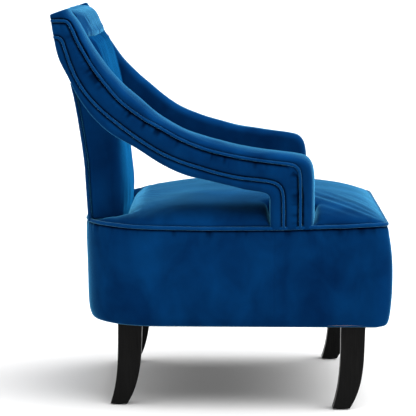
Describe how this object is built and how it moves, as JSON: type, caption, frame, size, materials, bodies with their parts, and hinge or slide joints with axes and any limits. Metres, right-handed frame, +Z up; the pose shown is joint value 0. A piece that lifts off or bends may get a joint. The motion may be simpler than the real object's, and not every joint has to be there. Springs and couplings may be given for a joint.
{
  "type": "upholstered armchair",
  "caption": "Low armchair with a deep D-shaped upholstered base, crowned seat, padded back, open swoop arms with double piping and sabre legs.",
  "frame": {"origin": "on the floor, under the middle of the chair's outline", "axes": "+Z up, -Y the way the sitter faces, +X the sitter's left"},
  "size_m": [0.7, 0.735, 0.8714],
  "materials": {
    "velvet": "sapphire blue short-pile velvet",
    "velvet_piping": "sapphire blue velvet over cord, sewn as piping",
    "foam": "cream upholstery foam",
    "wadding": "white polyester wadding",
    "felt": "grey needled felt",
    "webbing": "brown elastic webbing",
    "dust_cloth": "thin black non-woven cloth",
    "leg_wood": "solid wood, stained black, satin lacquer",
    "frame_wood": "sawn hardwood, unfinished",
    "plywood": "plywood, unfinished",
    "hardboard": "brown hardboard",
    "spring_steel": "oiled spring wire",
    "zinc_steel": "zinc-plated steel",
    "glide_plastic": "black nylon"
  },
  "bodies": {
    "root": {"base_cover": "velvet", "seat_cover": "velvet", "arm_cover_left": "velvet", "arm_cover_right": "velvet", "inner_back_cover": "velvet", "outer_back_cover": "velvet", "top_roll_cover": "velvet", "seat_welt": "velvet_piping", "arm_welt_upper_left": "velvet_piping", "arm_welt_upper_right": "velvet_piping", "arm_welt_lower_left": "velvet_piping", "arm_welt_lower_right": "velvet_piping", "back_edge_welt_left": "velvet_piping", "back_edge_welt_right": "velvet_piping", "base_padding": "foam", "seat_foam": "foam", "arm_padding_front_left": "foam", "arm_padding_front_right": "foam", "arm_padding_middle_left": "foam", "arm_padding_middle_right": "foam", "arm_padding_rear_left": "foam", "arm_padding_rear_right": "foam", "inner_back_foam": "foam", "top_roll_foam": "foam", "outer_back_wadding": "wadding", "seat_deck_pad": "felt", "back_webbing": "webbing", "dust_cover": "dust_cloth", "leg_front_left": "leg_wood", "leg_front_right": "leg_wood", "leg_rear_left": "leg_wood", "leg_rear_right": "leg_wood", "leg_blocks": "frame_wood", "arm_upper_blocks": "frame_wood", "arm_lower_blocks": "frame_wood", "back_post_left": "frame_wood", "back_post_right": "frame_wood", "back_lower_rail": "frame_wood", "back_middle_rail": "frame_wood", "back_top_rail": "frame_wood", "base_front_board": "plywood", "base_rear_board": "plywood", "base_side_board_left": "plywood", "base_side_board_right": "plywood", "base_corner_board_left": "plywood", "base_corner_board_right": "plywood", "arm_board_left": "plywood", "arm_board_right": "plywood", "outer_back_board": "hardboard", "seat_springs": "spring_steel", "spring_clips": "spring_steel", "leg_bolts": "zinc_steel", "leg_tee_nuts": "zinc_steel", "arm_screws": "zinc_steel", "arm_washers": "zinc_steel", "leg_glides": "glide_plastic"}
  },
  "joints": []
}
